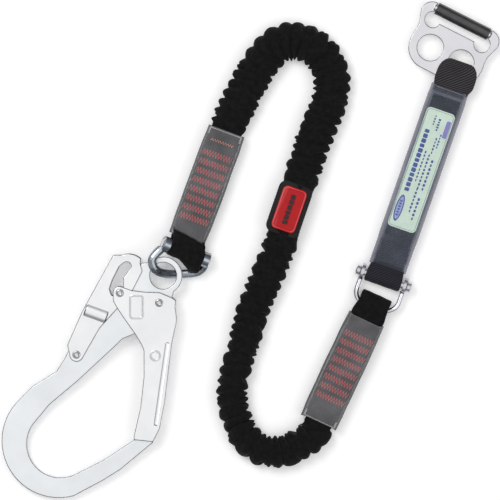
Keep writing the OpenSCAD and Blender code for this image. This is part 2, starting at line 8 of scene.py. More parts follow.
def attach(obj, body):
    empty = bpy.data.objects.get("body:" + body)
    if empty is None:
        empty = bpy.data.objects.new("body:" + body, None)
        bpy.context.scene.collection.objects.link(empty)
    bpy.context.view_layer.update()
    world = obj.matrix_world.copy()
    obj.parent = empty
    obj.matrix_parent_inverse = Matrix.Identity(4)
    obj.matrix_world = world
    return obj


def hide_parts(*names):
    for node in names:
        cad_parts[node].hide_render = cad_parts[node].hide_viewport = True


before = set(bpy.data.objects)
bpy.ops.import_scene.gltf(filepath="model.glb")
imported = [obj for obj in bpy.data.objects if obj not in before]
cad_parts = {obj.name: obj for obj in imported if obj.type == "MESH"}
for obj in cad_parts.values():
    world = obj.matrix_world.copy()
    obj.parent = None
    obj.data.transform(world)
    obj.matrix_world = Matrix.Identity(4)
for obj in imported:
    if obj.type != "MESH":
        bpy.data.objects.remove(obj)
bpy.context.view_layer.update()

MM = 0.001


# ---------- places, as the frame's design has them ----------

def place(x, y, z, *turns):
    """A frame at x, y, z in millimetres, turned about one axis after another."""
    matrix = Matrix.Translation((x * MM, y * MM, z * MM))
    for axis, degrees in turns:
        matrix = matrix @ Matrix.Rotation(radians(degrees), 4, axis)
    return matrix


STRAP_HEIGHT = 7.6
COVER_LENGTH = 103
AT_HOOK_PIN = place(-57.5, -1.5, 14.5, ("Z", -21.5), ("Y", 18))
AT_HOOK_END = place(-56.3, 10.7, STRAP_HEIGHT, ("Z", 180 - 20.3))
AT_ABSORBER_END = place(105.5, -61.4, STRAP_HEIGHT, ("Z", -25))
AT_ABSORBER = place(120.5, -25.4, STRAP_HEIGHT, ("Z", -19.3))
AT_LABEL = place(35.6, 36.7, 18, ("Z", -19))


def at(matrix, x, y, z):
    return matrix @ Vector((x * MM, y * MM, z * MM))


# ---------- camera ----------

CAMERA_HEIGHT = 4.0
VIEW_WIDTH = 0.45
SENSOR = 36

camera_data = bpy.data.cameras.new("camera")
camera_data.sensor_width = SENSOR
camera_data.lens = SENSOR * CAMERA_HEIGHT / VIEW_WIDTH
camera_data.clip_end = 20
camera = bpy.data.objects.new("camera", camera_data)
camera.location = (0.0005, 0.0003, CAMERA_HEIGHT)
bpy.context.scene.collection.objects.link(camera)
bpy.context.scene.camera = camera


# ---------- mesh helpers ----------

def smooth_curve(points, steps):
    """A Catmull-Rom curve through the points."""
    padded = [2 * points[0] - points[1]] + points + [2 * points[-1] - points[-2]]
    out = []
    for i in range(len(points) - 1):
        a, b, c, d = padded[i:i + 4]
        for j in range(steps):
            t = j / steps
            out.append(0.5 * (
                2 * b + (c - a) * t + (2 * a - 5 * b + 4 * c - d) * t * t
                + (3 * b - a - 3 * c + d) * t * t * t
            ))
    out.append(points[-1])
    return out


def evenly(points, spacing):
    """The polyline again, with points at one spacing."""
    lengths = [0.0]
    for a, b in zip(points, points[1:]):
        lengths.append(lengths[-1] + (b - a).length)
    count = max(2, round(lengths[-1] / spacing))
    out = []
    k = 0
    for i in range(count + 1):
        s = lengths[-1] * i / count
        while k < len(points) - 2 and lengths[k + 1] < s:
            k += 1
        share = (s - lengths[k]) / max(1e-9, lengths[k + 1] - lengths[k])
        out.append(points[k].lerp(points[k + 1], min(1, share)))
    return out


def ease(value, low, high):
    t = min(1, max(0, (value - low) / (high - low)))
    return t * t * (3 - 2 * t)


def face_outward(mesh):
    """Turns the faces of every closed shell outward."""
    shells = bmesh.new()
    shells.from_mesh(mesh)
    bmesh.ops.recalc_face_normals(shells, faces=shells.faces)
    shells.to_mesh(mesh)
    shells.free()


class Builder:
    """Collects faces with cloth coordinates (metres across and along) into one mesh."""

    def __init__(self):
        self.verts = []
        self.faces = []
        self.uvs = []
        self.slots = []

    def skin(self, rings, capped=True, slot=0):
        base = len(self.verts)
        sides = len(rings[0])
        for ring in rings:
            self.verts.extend(ring)
        along = [0.0]
        for a, b in zip(rings, rings[1:]):
            step = sum(((q - p).length for p, q in zip(a, b))) / sides
            along.append(along[-1] + step)
        around = [0.0]
        for k in range(sides):
            around.append(around[-1] + (rings[0][(k + 1) % sides] - rings[0][k]).length)
        for i in range(len(rings) - 1):
            for k in range(sides):
                n = (k + 1) % sides
                row = base + i * sides
                self.faces.append((row + k, row + n, row + sides + n, row + sides + k))
                self.uvs.append((
                    (around[k], along[i]), (around[k + 1], along[i]),
                    (around[k + 1], along[i + 1]), (around[k], along[i + 1]),
                ))
                self.slots.append(slot)
        if capped:
            last = base + (len(rings) - 1) * sides
            self.faces.append(tuple(base + k for k in reversed(range(sides))))
            self.uvs.append(((0.0, 0.0),) * sides)
            self.faces.append(tuple(last + k for k in range(sides)))
            self.uvs.append(((0.0, 0.0),) * sides)
            self.slots.extend((slot, slot))

    def prism(self, outline, place_point, low, high, bevel=0.0, slot=0):
        """A flat piece: outline in millimetres, place_point(x, y, z) gives its place."""
        centre = sum((Vector(p) for p in outline), Vector((0, 0))) / len(outline)

        def ring(z, inset):
            out = []
            for p in outline:
                v = Vector(p) - centre
                v = centre + v * max(0.0, 1 - inset / max(v.length, 1e-6))
                out.append(place_point(v.x, v.y, z))
            return out

        rings = [ring(low, 0), ring(high - bevel, 0)]
        if bevel:
            rings.append(ring(high, bevel))
        self.skin(rings, slot=slot)

    def finish(self, name, materials, smooth=True):
        mesh = bpy.data.meshes.new(name)
        mesh.from_pydata([tuple(v) for v in self.verts], [], self.faces)
        layer = mesh.uv_layers.new(name="cloth")
        for polygon, uvs in zip(mesh.polygons, self.uvs):
            for loop, uv in zip(polygon.loop_indices, uvs):
                layer.data[loop].uv = uv
        for polygon, slot in zip(mesh.polygons, self.slots):
            polygon.material_index = slot
            polygon.use_smooth = smooth
        for material in materials:
            mesh.materials.append(material)
        face_outward(mesh)
        thing = bpy.data.objects.new(name, mesh)
        bpy.context.scene.collection.objects.link(thing)
        return thing


def strap_section(width, thickness, across=22, turn=4):
    """A flat strap's section with round edges, as (across, up) in millimetres, anticlockwise."""
    radius = thickness / 2
    flat = width / 2 - radius
    out = [(-flat + 2 * flat * i / across, -radius) for i in range(across)]
    for i in range(turn + 1):
        a = -pi / 2 + pi * i / turn
        out.append((flat + radius * cos(a), radius * sin(a)))
    out += [(flat - 2 * flat * i / across, radius) for i in range(1, across)]
    for i in range(turn + 1):
        a = pi / 2 + pi * i / turn
        out.append((-flat + radius * cos(a), radius * sin(a)))
    return out[:-1]


def ribbon(builder, line, width_at, thickness, to_world, ripple=0.0, slot=0):
    """A strap along line, a list of (along, up) in millimetres, seen from its side.

    to_world(x, y, z) places a point; width_at(i / last, y) gives the strap's width.
    """
    points = evenly(smooth_curve([Vector((y, z, 0)) for y, z in line], 10), 1.3)
    last = len(points) - 1
    rings = []
    for i, p in enumerate(points):
        tangent = (points[min(i + 1, last)] - points[max(i - 1, 0)]).normalized()
        normal = Vector((-tangent.y, tangent.x, 0))
        ring = []
        for across, up in strap_section(width_at(i / last, p.x), thickness):
            crease = ripple * noise.noise(Vector((across * 0.13, i * 0.16, 3.1 * thickness)))
            spot = p + normal * (up + crease)
            ring.append(to_world(across * (1 + 0.02 * crease), spot.x, spot.y))
        rings.append(ring)
    builder.skin(rings, slot=slot)


def rounded_outline(width, length, radius, steps=6):
    out = []
    for sx, sy, start in ((1, 1, 0), (-1, 1, 90), (-1, -1, 180), (1, -1, 270)):
        for i in range(steps + 1):
            a = radians(start + 90 * i / steps)
            out.append((
                sx * (width / 2 - radius) + radius * cos(a),
                sy * (length / 2 - radius) + radius * sin(a),
            ))
    return out


# ---------- material helpers ----------

class Shading:
    """A node material with its Principled shader and short ways to add nodes."""

    def __init__(self, name, colour, **values):
        self.material = bpy.data.materials.new(name)
        self.material.use_nodes = True
        self.tree = self.material.node_tree
        self.shader = self.tree.nodes["Principled BSDF"]
        self.set("Base Color", (*colour, 1))
        for key, value in values.items():
            self.set(key.replace("_", " "), value)

    def set(self, socket, value):
        self.shader.inputs[socket].default_value = value

    def add(self, kind, **values):
        node = self.tree.nodes.new(kind)
        for key, value in values.items():
            if key in node.inputs:
                node.inputs[key].default_value = value
            else:
                setattr(node, key, value)
        return node

    def link(self, source, target):
        self.tree.links.new(source, target)

    def cloth(self, scale):
        uv = self.add("ShaderNodeUVMap", uv_map="cloth")
        mapping = self.add("ShaderNodeMapping")
        mapping.inputs["Scale"].default_value = scale
        self.link(uv.outputs["UV"], mapping.inputs["Vector"])
        return mapping.outputs["Vector"]

    def solid(self, scale=(1, 1, 1)):
        place_node = self.add("ShaderNodeTexCoord")
        mapping = self.add("ShaderNodeMapping")
        mapping.inputs["Scale"].default_value = scale
        self.link(place_node.outputs["Object"], mapping.inputs["Vector"])
        return mapping.outputs["Vector"]

    def facing(self):
        """1 where the piece's own surface lies flat, 0 on its upright sides."""
        place_node = self.add("ShaderNodeTexCoord")
        split = self.add("ShaderNodeSeparateXYZ")
        self.link(place_node.outputs["Normal"], split.inputs["Vector"])
        size = self.add("ShaderNodeMath", operation="ABSOLUTE")
        self.link(split.outputs["Z"], size.inputs[0])
        return size.outputs["Value"]

    def blend(self, factor, a, b):
        node = self.add("ShaderNodeMix", data_type="RGBA")
        self.link(factor, node.inputs["Factor"])
        self.link(a, node.inputs[6])
        self.link(b, node.inputs[7])
        return node.outputs[2]

    def noise(self, vector, scale, detail=3.0, roughness=0.5):
        node = self.add("ShaderNodeTexNoise", Scale=scale, Detail=detail, Roughness=roughness)
        self.link(vector, node.inputs["Vector"])
        return node.outputs["Fac"]

    def ramp(self, factor, low, high, a, b):
        node = self.add("ShaderNodeValToRGB")
        node.color_ramp.elements[0].position = low
        node.color_ramp.elements[1].position = high
        node.color_ramp.elements[0].color = (*a, 1)
        node.color_ramp.elements[1].color = (*b, 1)
        self.link(factor, node.inputs["Fac"])
        return node.outputs["Color"]

    def range(self, factor, low, high):
        node = self.add("ShaderNodeMapRange")
        node.inputs["To Min"].default_value = low
        node.inputs["To Max"].default_value = high
        self.link(factor, node.inputs["Value"])
        return node.outputs["Result"]

    def bump(self, height, distance, strength=1.0, normal=None):
        node = self.add("ShaderNodeBump", Strength=strength, Distance=distance)
        self.link(height, node.inputs["Height"])
        if normal is not None:
            self.link(normal, node.inputs["Normal"])
        return node.outputs["Normal"]


# Brightness of a painted edge shade line beside its face's colour
EDGE_SHADE = 0.07


def metal(name, colour, roughness, grain, dent=0.00003, blotches=40, edge=0.0016):
    """Plated steel, softly blotched and finely grained, with painted shade as dark lines along its sharp
    edges.
    """
    m = Shading(name, colour, Metallic=1.0, Roughness=roughness)
    vector = m.solid()
    blotch = m.noise(vector, blotches, 4)
    fine = m.noise(vector, grain, 3, 0.6)
    darker = tuple(0.9 * c for c in colour)
    face = m.ramp(blotch, 0.25, 0.75, darker, colour)
    # Painted shade: where the Bevel node's rounded normal turns away from the true one, the base colour
    # drops to EDGE_SHADE of the face's
    rounded = m.add("ShaderNodeBevel", samples=8, Radius=edge)
    surface = m.add("ShaderNodeNewGeometry")
    turned = m.add("ShaderNodeVectorMath", operation="DOT_PRODUCT")
    m.link(rounded.outputs["Normal"], turned.inputs[0])
    m.link(surface.outputs["Normal"], turned.inputs[1])
    edge_shade_mask = m.ramp(turned.outputs["Value"], 0.92, 0.995, (0, 0, 0), (1, 1, 1))
    painted_edge_shade_darker = tuple(EDGE_SHADE * c for c in darker)
    wear_and_painted_edge_shade = m.ramp(blotch, 0.3, 0.7, painted_edge_shade_darker, tuple(EDGE_SHADE * c for c in colour))
    m.link(m.blend(edge_shade_mask, wear_and_painted_edge_shade, face), m.shader.inputs["Base Color"])
    m.link(m.range(fine, roughness * 0.8, roughness * 1.2), m.shader.inputs["Roughness"])
    m.link(m.bump(fine, dent, 0.35, rounded.outputs["Normal"]), m.shader.inputs["Normal"])
    return m.material


# Scale of a wave texture whose bands are one unit apart, straight and diagonal
STRAIGHT_WAVE = 0.314
DIAGONAL_WAVE = 0.444


def woven(name, colour, light, pitch, slant=False, depth=0.00025, sheen=0.12):
    """Woven webbing: warp ribs crossed by weft picks, on cloth coordinates."""
    m = Shading(name, colour, Roughness=0.78, Sheen_Weight=sheen, Sheen_Roughness=0.45)
    m.set("Specular IOR Level", 0.3)
    vector = m.cloth((1 / pitch, 1 / pitch, 1))
    rib_scale = DIAGONAL_WAVE if slant else STRAIGHT_WAVE
    ribs = m.add("ShaderNodeTexWave", Scale=rib_scale, Distortion=0.4, Detail=1.0)
    ribs.bands_direction = "DIAGONAL" if slant else "X"
    picks = m.add("ShaderNodeTexWave", Scale=STRAIGHT_WAVE, Distortion=0.5, Detail=1.0)
    picks.bands_direction = "Y"
    m.link(vector, ribs.inputs["Vector"])
    m.link(vector, picks.inputs["Vector"])
    mix = m.add("ShaderNodeMath", operation="MULTIPLY")
    m.link(ribs.outputs["Fac"], mix.inputs[0])
    m.link(picks.outputs["Fac"], mix.inputs[1])
    weave = ribs.outputs["Fac"] if slant else mix.outputs["Value"]
    patches = m.range(m.noise(m.solid(), 60, 3), 0.5, 1.3)
    wear_and_painted_edge_shade = m.add("ShaderNodeMath", operation="MULTIPLY")
    m.link(weave, wear_and_painted_edge_shade.inputs[0])
    m.link(patches, wear_and_painted_edge_shade.inputs[1])
    m.link(m.ramp(wear_and_painted_edge_shade.outputs["Value"], 0.1, 0.9, colour, light), m.shader.inputs["Base Color"])
    m.link(m.bump(weave, depth, 0.8), m.shader.inputs["Normal"])
    return m.material


def film(name, colour, alpha, roughness, edge, edge_alpha, turn):
    """Clear soft vinyl with cloudy patches; its upright sides, where it is seen edge on, get painted shade:
    the edge colour, more opaque.
    """
    m = Shading(name, colour, Roughness=roughness, Coat_Weight=0.1, Coat_Roughness=0.15)
    m.set("Specular IOR Level", 0.22)
    vector = m.solid()
    cloud = m.noise(vector, 45, 4)
    # Painted shade: the upright sides take the edge colour and edge_alpha in place of the clear film's
    # colour and alpha
    flat = m.ramp(m.facing(), *turn, (0, 0, 0), (1, 1, 1))
    lift = m.add("ShaderNodeMapRange")
    lift.inputs["To Min"].default_value = edge_alpha
    m.link(flat, lift.inputs["Value"])
    m.link(m.range(cloud, alpha * 0.5, alpha * 1.5), lift.inputs["To Max"])
    m.link(lift.outputs["Result"], m.shader.inputs["Alpha"])
    brighter = tuple(min(1, 1.25 * c) for c in colour)
    # Colour of the painted edge-on shade, softly blotched
    rim = m.ramp(cloud, 0.3, 0.7, tuple(0.8 * c for c in edge), edge)
    m.link(m.blend(flat, rim, m.ramp(cloud, 0.35, 0.7, colour, brighter)), m.shader.inputs["Base Color"])
    m.link(m.bump(m.noise(vector, 140, 2), 0.0006, 0.35), m.shader.inputs["Normal"])
    return m.material


def printed(name, colour, roughness=0.4, variation=0.9):
    """Printed or moulded label stock, faintly mottled."""
    m = Shading(name, colour, Roughness=roughness)
    m.set("Specular IOR Level", 0.25)
    vector = m.solid()
    mottle = m.noise(vector, 160, 4)
    darker = tuple(variation * c for c in colour)
    m.link(m.ramp(mottle, 0.35, 0.65, darker, colour), m.shader.inputs["Base Color"])
    m.link(m.bump(m.noise(vector, 1800, 2), 0.00006, 0.4), m.shader.inputs["Normal"])
    return m.material


def gathered_cloth():
    """The strap's sleeve: matt black cloth, fine weave, lint in the light."""
    m = Shading("gathered_cloth", (0.012, 0.012, 0.013), Roughness=0.8, Sheen_Weight=0.06)
    m.set("Sheen Roughness", 0.5)
    m.set("Specular IOR Level", 0.14)
    vector = m.cloth((1100, 900, 1))
    weave = m.add("ShaderNodeTexWave", Scale=0.6, Distortion=0.8, Detail=2.0)
    weave.bands_direction = "DIAGONAL"
    m.link(vector, weave.inputs["Vector"])
    folds = m.noise(m.solid(), 260, 4, 0.6)
    m.link(m.ramp(folds, 0.35, 0.75, (0.002, 0.002, 0.0023), (0.008, 0.008, 0.009)),
           m.shader.inputs["Base Color"])
    under = m.bump(folds, 0.0008, 0.4)
    m.link(m.bump(weave.outputs["Fac"], 0.0002, 0.5, under), m.shader.inputs["Normal"])
    return m.material


def thread_material(name, dark, light):
    m = Shading(name, light, Roughness=0.55, Sheen_Weight=0.3)
    twist = m.add("ShaderNodeTexWave", Scale=900.0, Distortion=1.0)
    twist.bands_direction = "DIAGONAL"
    m.link(m.solid(), twist.inputs["Vector"])
    m.link(m.ramp(twist.outputs["Fac"], 0.1, 0.8, dark, light), m.shader.inputs["Base Color"])
    m.link(m.bump(twist.outputs["Fac"], 0.0001, 0.6), m.shader.inputs["Normal"])
    return m.material


FORGED = metal("forged_zinc", (0.78, 0.8, 0.82), 0.3, 900, 0.00005)
PRESSED = metal("pressed_zinc", (0.84, 0.85, 0.86), 0.2, 700)
RIVET = metal("rivet_steel", (0.66, 0.66, 0.67), 0.2, 900, edge=0.0009)
DULL_ZINC = metal("dull_zinc", (0.3, 0.33, 0.37), 0.22, 500, 0.00008, 120, 0.0004)
DARK_STEEL = metal("dark_steel", (0.3, 0.3, 0.31), 0.35, 900, edge=0.0002)
BRIGHT = metal("bright_steel", (0.62, 0.62, 0.66), 0.15, 800, edge=0.0004)
PLATE = metal("plate_steel", (0.7, 0.69, 0.72), 0.24, 800, 0.00004)
TWILL_WEBBING = woven("twill_webbing", (0.004, 0.004, 0.005), (0.06, 0.055, 0.06), 0.0019, True, 0.0004)
NAVY_TWILL = woven("navy_twill", (0.003, 0.003, 0.006), (0.022, 0.022, 0.036), 0.0019, True, 0.0003)
PACK_WEBBING = woven("pack_webbing", (0.003, 0.004, 0.007), (0.014, 0.016, 0.024), 0.0014)
SLEEVE_CLOTH = gathered_cloth()
THREAD = thread_material("red_thread", (0.5, 0.008, 0.014), (0.8, 0.03, 0.035))
MARKER_THREAD = thread_material("orange_thread", (0.8, 0.2, 0.08), (1, 0.36, 0.18))
# The edge colour and edge opacity given to each film are painted shade for its upright sides
END_FILM = film("end_film", (0.52, 0.52, 0.54), 0.1, 0.24, (0.07, 0.075, 0.08), 0.85, (0.55, 0.9))
SMOKE_FILM = film("smoke_film", (0.26, 0.3, 0.38), 0.09, 0.16, (0.33, 0.33, 0.39), 0.88, (0.75, 0.985))
LABEL_RED = printed("label_red", (0.47, 0.002, 0.006), 0.32)
LABEL_RIM = printed("label_rim", (0.8, 0.09, 0.09), 0.35)
LABEL_DARK = printed("label_dark", (0.035, 0.018, 0.02), 0.5)
PATCH_BLACK = printed("patch_black", (0.012, 0.012, 0.013), 0.7)
LABEL_GREEN = printed("label_green", (0.8, 0.96, 0.8), 0.35, 0.95)
LABEL_LINE = printed("label_line", (0.16, 0.3, 0.3), 0.4)
LABEL_BLUE = printed("label_blue", (0.05, 0.09, 0.36), 0.4)
LABEL_SKY = printed("label_sky", (0.42, 0.5, 0.85), 0.4)
LABEL_VIOLET = printed("label_violet", (0.32, 0.27, 0.7), 0.4)


def gloss_black():
    m = Shading("gloss_black", (0.012, 0.012, 0.013), Roughness=0.16, Coat_Weight=0.9)
    vector = m.solid()
    wear = m.noise(vector, 220, 4)
    m.link(m.range(wear, 0.1, 0.22), m.shader.inputs["Roughness"])
    m.link(m.ramp(wear, 0.4, 0.8, (0.01, 0.01, 0.011), (0.03, 0.03, 0.032)),
           m.shader.inputs["Base Color"])
    m.link(m.bump(wear, 0.00015, 0.3), m.shader.inputs["Normal"])
    return m.material


ROLLER_BLACK = gloss_black()

# ---------- the gathered strap between its two covers -----------------------

ROUTE = [
    (-8, 135), (-1, 150), (7, 163), (16, 176), (27, 185), (40, 188), (53, 185), (65, 176), (72, 163),
    (74, 147), (71, 132), (65, 116), (58, 99), (48, 69), (37, 37), (28, 7), (19, -16), (11, -34),
    (3, -55), (-3, -76), (-9, -97), (-15, -117), (-16, -131), (-12, -148), (-4, -167), (8, -178),
    (22, -181), (35, -179), (46, -173),
]
SLEEVE_HEIGHT = 9
SLEEVE_SIDES = 56
SLEEVE_STEP = 1.1
PLEAT = 9.6
# Depth the label's patch holds the cloth down to
LABEL_PRESS = 1.2


def strap_line():
    start = [AT_HOOK_END @ Vector((0, -(COVER_LENGTH + d) * MM, 0)) for d in (-1, 3, 15)]
    finish = [AT_ABSORBER_END @ Vector((0, -(COVER_LENGTH + d) * MM, 0)) for d in (12, 3, -1)]
    middle = [Vector((x * MM, y * MM, 0)) for x, y in ROUTE]
    points = smooth_curve(start + middle + finish, 12)
    for p in points:
        p.z = SLEEVE_HEIGHT * MM
    return evenly(points, SLEEVE_STEP * MM)


def sleeve_half_width(share):
    marks = [(0, 15.6), (0.12, 16), (0.45, 15.2), (0.62, 14.2), (0.75, 12.8), (0.9, 13.2), (1, 14.2)]
    for (a, low), (b, high) in zip(marks, marks[1:]):
        if share <= b:
            return low + (high - low) * ease(share, a, b)
    return marks[-1][1]


def pleat_depth(s, x, y):
    """How far the cloth sinks at s millimetres along, in direction x, y round the sleeve."""
    wander = 0.8 * noise.noise(Vector((x * 0.5, y * 0.5, s / 24)))
    wander += 0.12 * noise.noise(Vector((x * 1.1 + 7, y * 1.1, s / 12)))
    fold = abs(sin(pi * (s / PLEAT + wander)))
    split = abs(sin(pi * (s / (PLEAT * 0.5) + 1.4 * wander + 0.3)))
    where_split = ease(noise.noise(Vector((x * 0.7 + 3, y * 0.7, s / 21))), -0.02, 0.25)
    strength = 0.95 + 0.7 * noise.noise(Vector((x * 0.6, y * 0.6 + 9, s / 13)))
    swell = noise.noise(Vector((x * 0.9 + 4, y * 0.9, s / 12)))
    wrinkle = noise.noise(Vector((x * 2.4, y * 2.4, s / 2.2)))
    depth = 4.6 * (1 - fold ** 0.55) * strength
    depth += 2.2 * where_split * (1 - split ** 0.6)
    return depth - 0.2 * wrinkle - 1.3 * swell - 1.5


def make_sleeve():
    line = strap_line()
    last = len(line) - 1
    rings = []
    for i, p in enumerate(line):
        s = i * SLEEVE_STEP
        near_end = min(s, (last - i) * SLEEVE_STEP)
        open_share = ease(near_end, 0, 9)
        half_width = sleeve_half_width(i / last) * (0.88 + 0.12 * open_share)
        half_height = 5.2 + 3.8 * ease(near_end, 0, 22)
        along = (line[min(i + 1, last)] - line[max(i - 1, 0)]).normalized()
        side = Vector((along.y, -along.x, 0))
        centre = p.copy()
        centre.z = (STRAP_HEIGHT + (SLEEVE_HEIGHT - STRAP_HEIGHT) * ease(near_end, 0, 22)) * MM
        pressed = 1 - ease((p - AT_LABEL.translation).xy.length / MM, 20, 34)
        ring = []
        for k in range(SLEEVE_SIDES):
            a = 2 * pi * k / SLEEVE_SIDES
            x, y = cos(a), sin(a)
            depth = pleat_depth(s, x, y) * (0.35 + 0.65 * open_share)
            depth += (LABEL_PRESS - depth) * pressed
            wide = (half_width - depth) * x * MM
            high = max(-half_height, (half_height - 0.75 * depth) * y) * MM
            ring.append(centre + side * wide + Vector((0, 0, high)))
        rings.append(ring)
    builder = Builder()
    builder.skin(rings)
    sleeve = builder.finish("gathered_sleeve", [SLEEVE_CLOTH])
    centres = [Vector((p.x, p.y, SLEEVE_HEIGHT * MM)) for p in line]
    return sleeve, centres


sleeve, sleeve_path = make_sleeve()
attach(sleeve, "lanyard")
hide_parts("elastic_sleeve", "elastic_core")


def make_core():
    """The elastic inside, three flat cords side by side."""
    builder = Builder()
    line = sleeve_path[::4]
    last = len(line) - 1
    for lane in (-4, 0, 4):
        rings = []
        for i, p in enumerate(line):
            along = (line[min(i + 1, last)] - line[max(i - 1, 0)]).normalized()
            side = Vector((along.y, -along.x, 0))
            rings.append([
                p + side * (lane + 1.8 * cos(a)) * MM + Vector((0, 0, 1.8 * sin(a) * MM))
                for a in (2 * pi * k / 10 for k in range(10))
            ])
        builder.skin(rings)
    rubber = Shading("elastic_rubber", (0.66, 0.58, 0.42), Roughness=0.6)
    grain = rubber.noise(rubber.solid(), 300, 3)
    rubber.link(rubber.ramp(grain, 0.3, 0.7, (0.5, 0.43, 0.3), (0.7, 0.62, 0.45)),
                rubber.shader.inputs["Base Color"])
    return builder.finish("elastic_cords", [rubber.material])


core = make_core()
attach(core, "lanyard")

# ---------- red label on its patch ----------

LABEL_WIDTH = 22.3
LABEL_LENGTH = 40
LABEL_CURVE = 34


def on_label(x, y, z):
    return at(AT_LABEL, x, y, z - x * x / (2 * LABEL_CURVE))


def make_label():
    patch = Builder()
    patch.prism(rounded_outline(31, 48.5, 7), on_label, -0.8, 0.9, 0.4)
    patch_piece = patch.finish("label_patch", [PATCH_BLACK], smooth=False)
    label = Builder()
    label.prism(rounded_outline(LABEL_WIDTH, LABEL_LENGTH, 4.5), on_label, 0.9, 1.7, 0.15)
    label.prism(rounded_outline(LABEL_WIDTH - 1.4, LABEL_LENGTH - 1.4, 4), on_label, 1.65, 1.85, 0.1, slot=1)
    label.prism(rounded_outline(LABEL_WIDTH - 3, LABEL_LENGTH - 3, 3.2), on_label, 1.7, 1.9, 0)
    lengths = (4, 5, 3.8, 5.6, 4.4, 5.2)
    y = -14
    for i, length in enumerate(lengths):
        middle = y + length / 2

        def raised(px, py, pz, middle=middle):
            return on_label(px, py + middle, pz)

        mark = rounded_outline(4.4 - 0.6 * (i % 2), length - 0.8, 0.6, 3)
        label.prism(mark, raised, 1.85, 2.2, 0.12, slot=2)
        y += length
    label_piece = label.finish("red_label", [LABEL_RED, LABEL_RIM, LABEL_DARK], smooth=False)
    return patch_piece, label_piece


label_patch, red_label = make_label()
for thing, node, slot in ((label_patch, "label_backing", "label_backing"),
                          (red_label, "label_plate", "red_label")):
    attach(thing, "lanyard")
    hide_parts(node)

# ---------- strap ends: folded webbing, bar tacking and clear covers ----------

PIN_RADIUS = 4.5
PIN_FORWARD = 11.9
ROLL_THICKNESS = 3.2
SLACK = 7.5
SLACK_SIDE = -1


def hook_end_point(x, y, z):
    """Blends from the strap's flat frame into the shackle pin's tilted one, slack at one corner."""
    y += SLACK * ease(SLACK_SIDE * x, -6, 15) * ease(y, 3, 13)
    flat = at(AT_HOOK_END, x, y, z)
    tilted = at(AT_HOOK_PIN, -x, PIN_FORWARD - y, z)
    return flat.lerp(tilted, ease(y, -9, 8))


def half_turn(centre, radius, height_sign=1, steps=8):
    """Points round the end of a loop, from its upper run to its lower one."""
    return [
        (centre + radius * sin(pi * i / steps), height_sign * radius * cos(pi * i / steps))
        for i in range(steps + 1)
    ]


def strap_end(name, to_world, turn, rise, thickness, width_at, cloth, ripple):
    builder = Builder()
    near = [(-96, 3), (-60, 3), (-25, 3), (-6, 3.1), rise]
    line = near + turn + [(y, -z) for y, z in reversed(near)]
    ribbon(builder, line, width_at, thickness, to_world, ripple)
    ribbon(builder, [(-101, 0), (-60, 0), (-12, 0)], lambda t, y: 28, 2.6, to_world, 0.2)
    return builder.finish(name, [cloth])


def hook_strap_width(share, y):
    return 31 + 2.6 * ease(y, -2, 12) + 0.8 * sin(y * 0.9)


def absorber_strap_width(share, y):
    return 31 - 3 * ease(y, 4, 14) + 0.3 * sin(y * 0.7)


def absorber_end_point(x, y, z):
    return at(AT_ABSORBER_END, x, y, z)


hook_loop = strap_end("hook_end_webbing", hook_end_point,
                      half_turn(PIN_FORWARD, PIN_RADIUS + 0.3 + ROLL_THICKNESS / 2), (4, 4.6),
                      ROLL_THICKNESS, hook_strap_width, SLEEVE_CLOTH, 0.7)
absorber_loop = strap_end("absorber_end_webbing", absorber_end_point,
                          [(12, 6.2)] + half_turn(16, 6.4) + [(12, -6.2)], (5, 4.6),
                          2.5, absorber_strap_width, SLEEVE_CLOTH, 0.5)

TACK_ROWS = 8
TACK_PITCH = 8.6
TACK_FIRST = 16
TACK_STROKES = 21
TACK_HEIGHT = 5.4
TACK_WIDTH = 27.5
THREAD_RADIUS = 0.3
MARKER_AT = -92.5
MARKER_STROKES = 17
MARKER_WIDTH = 21
MARKER_HEIGHT = 2.2
MARKER_RADIUS = 0.42


def thread(builder, points, radius, slot=0, sides=6):
    """A thread through points whose turns are mitred, lying in the XY plane of its places."""
    last = len(points) - 1
    rings = []
    for i, p in enumerate(points):
        tangent = (points[min(i + 1, last)] - points[max(i - 1, 0)]).normalized()
        side = tangent.cross(Vector((0, 0, 1))).normalized()
        up = side.cross(tangent)
        rings.append([
            p + side * radius * cos(a) + up * radius * sin(a)
            for a in (-2 * pi * k / sides for k in range(sides))
        ])
    builder.skin(rings, slot=slot)


def bar_tacks(name, to_world, marker=False):
    """Rows of zigzag bar tacking on both faces of the strap; a marker adds one orange row on top."""
    builder = Builder()
    for face in (1, -1):
        for row in range(TACK_ROWS):
            middle = -TACK_FIRST - row * TACK_PITCH - TACK_HEIGHT / 2
            points = []
            for i in range(TACK_STROKES + 1):
                x = TACK_WIDTH * (i / TACK_STROKES - 0.5)
                wobble = 0.35 * noise.noise(Vector((x, row * 3.7, 1.3)))
                y = middle + (TACK_HEIGHT / 2) * (1 if i % 2 else -1) + wobble
                points.append(to_world(x, y, face * (5.15 + 0.15 * cos(i))))
                points.append(to_world(x + 0.28, y, face * 4.85))
            thread(builder, points, THREAD_RADIUS * MM)
    if marker:
        points = []
        for i in range(MARKER_STROKES + 1):
            x = MARKER_WIDTH * (i / MARKER_STROKES - 0.5)
            points.append(to_world(x, MARKER_AT + MARKER_HEIGHT * (i % 2), 5.3))
        thread(builder, points, MARKER_RADIUS * MM, slot=1)
    return builder.finish(name, [THREAD, MARKER_THREAD])


def cover_section(width, height, lip, steps=10):
    """An oblong section with a thin welded lip on its left side."""
    corner = height * 0.62
    out = []
    for x, y in rounded_outline(width, 2 * height, corner, steps):
        out.append((x, y))
    left = -width / 2
    return [
        (x - lip * ease(-x, width / 2 - corner, width / 2) * (1 - abs(y) / height) ** 2
         if x < left + corner else x, y)
        for x, y in out
    ]


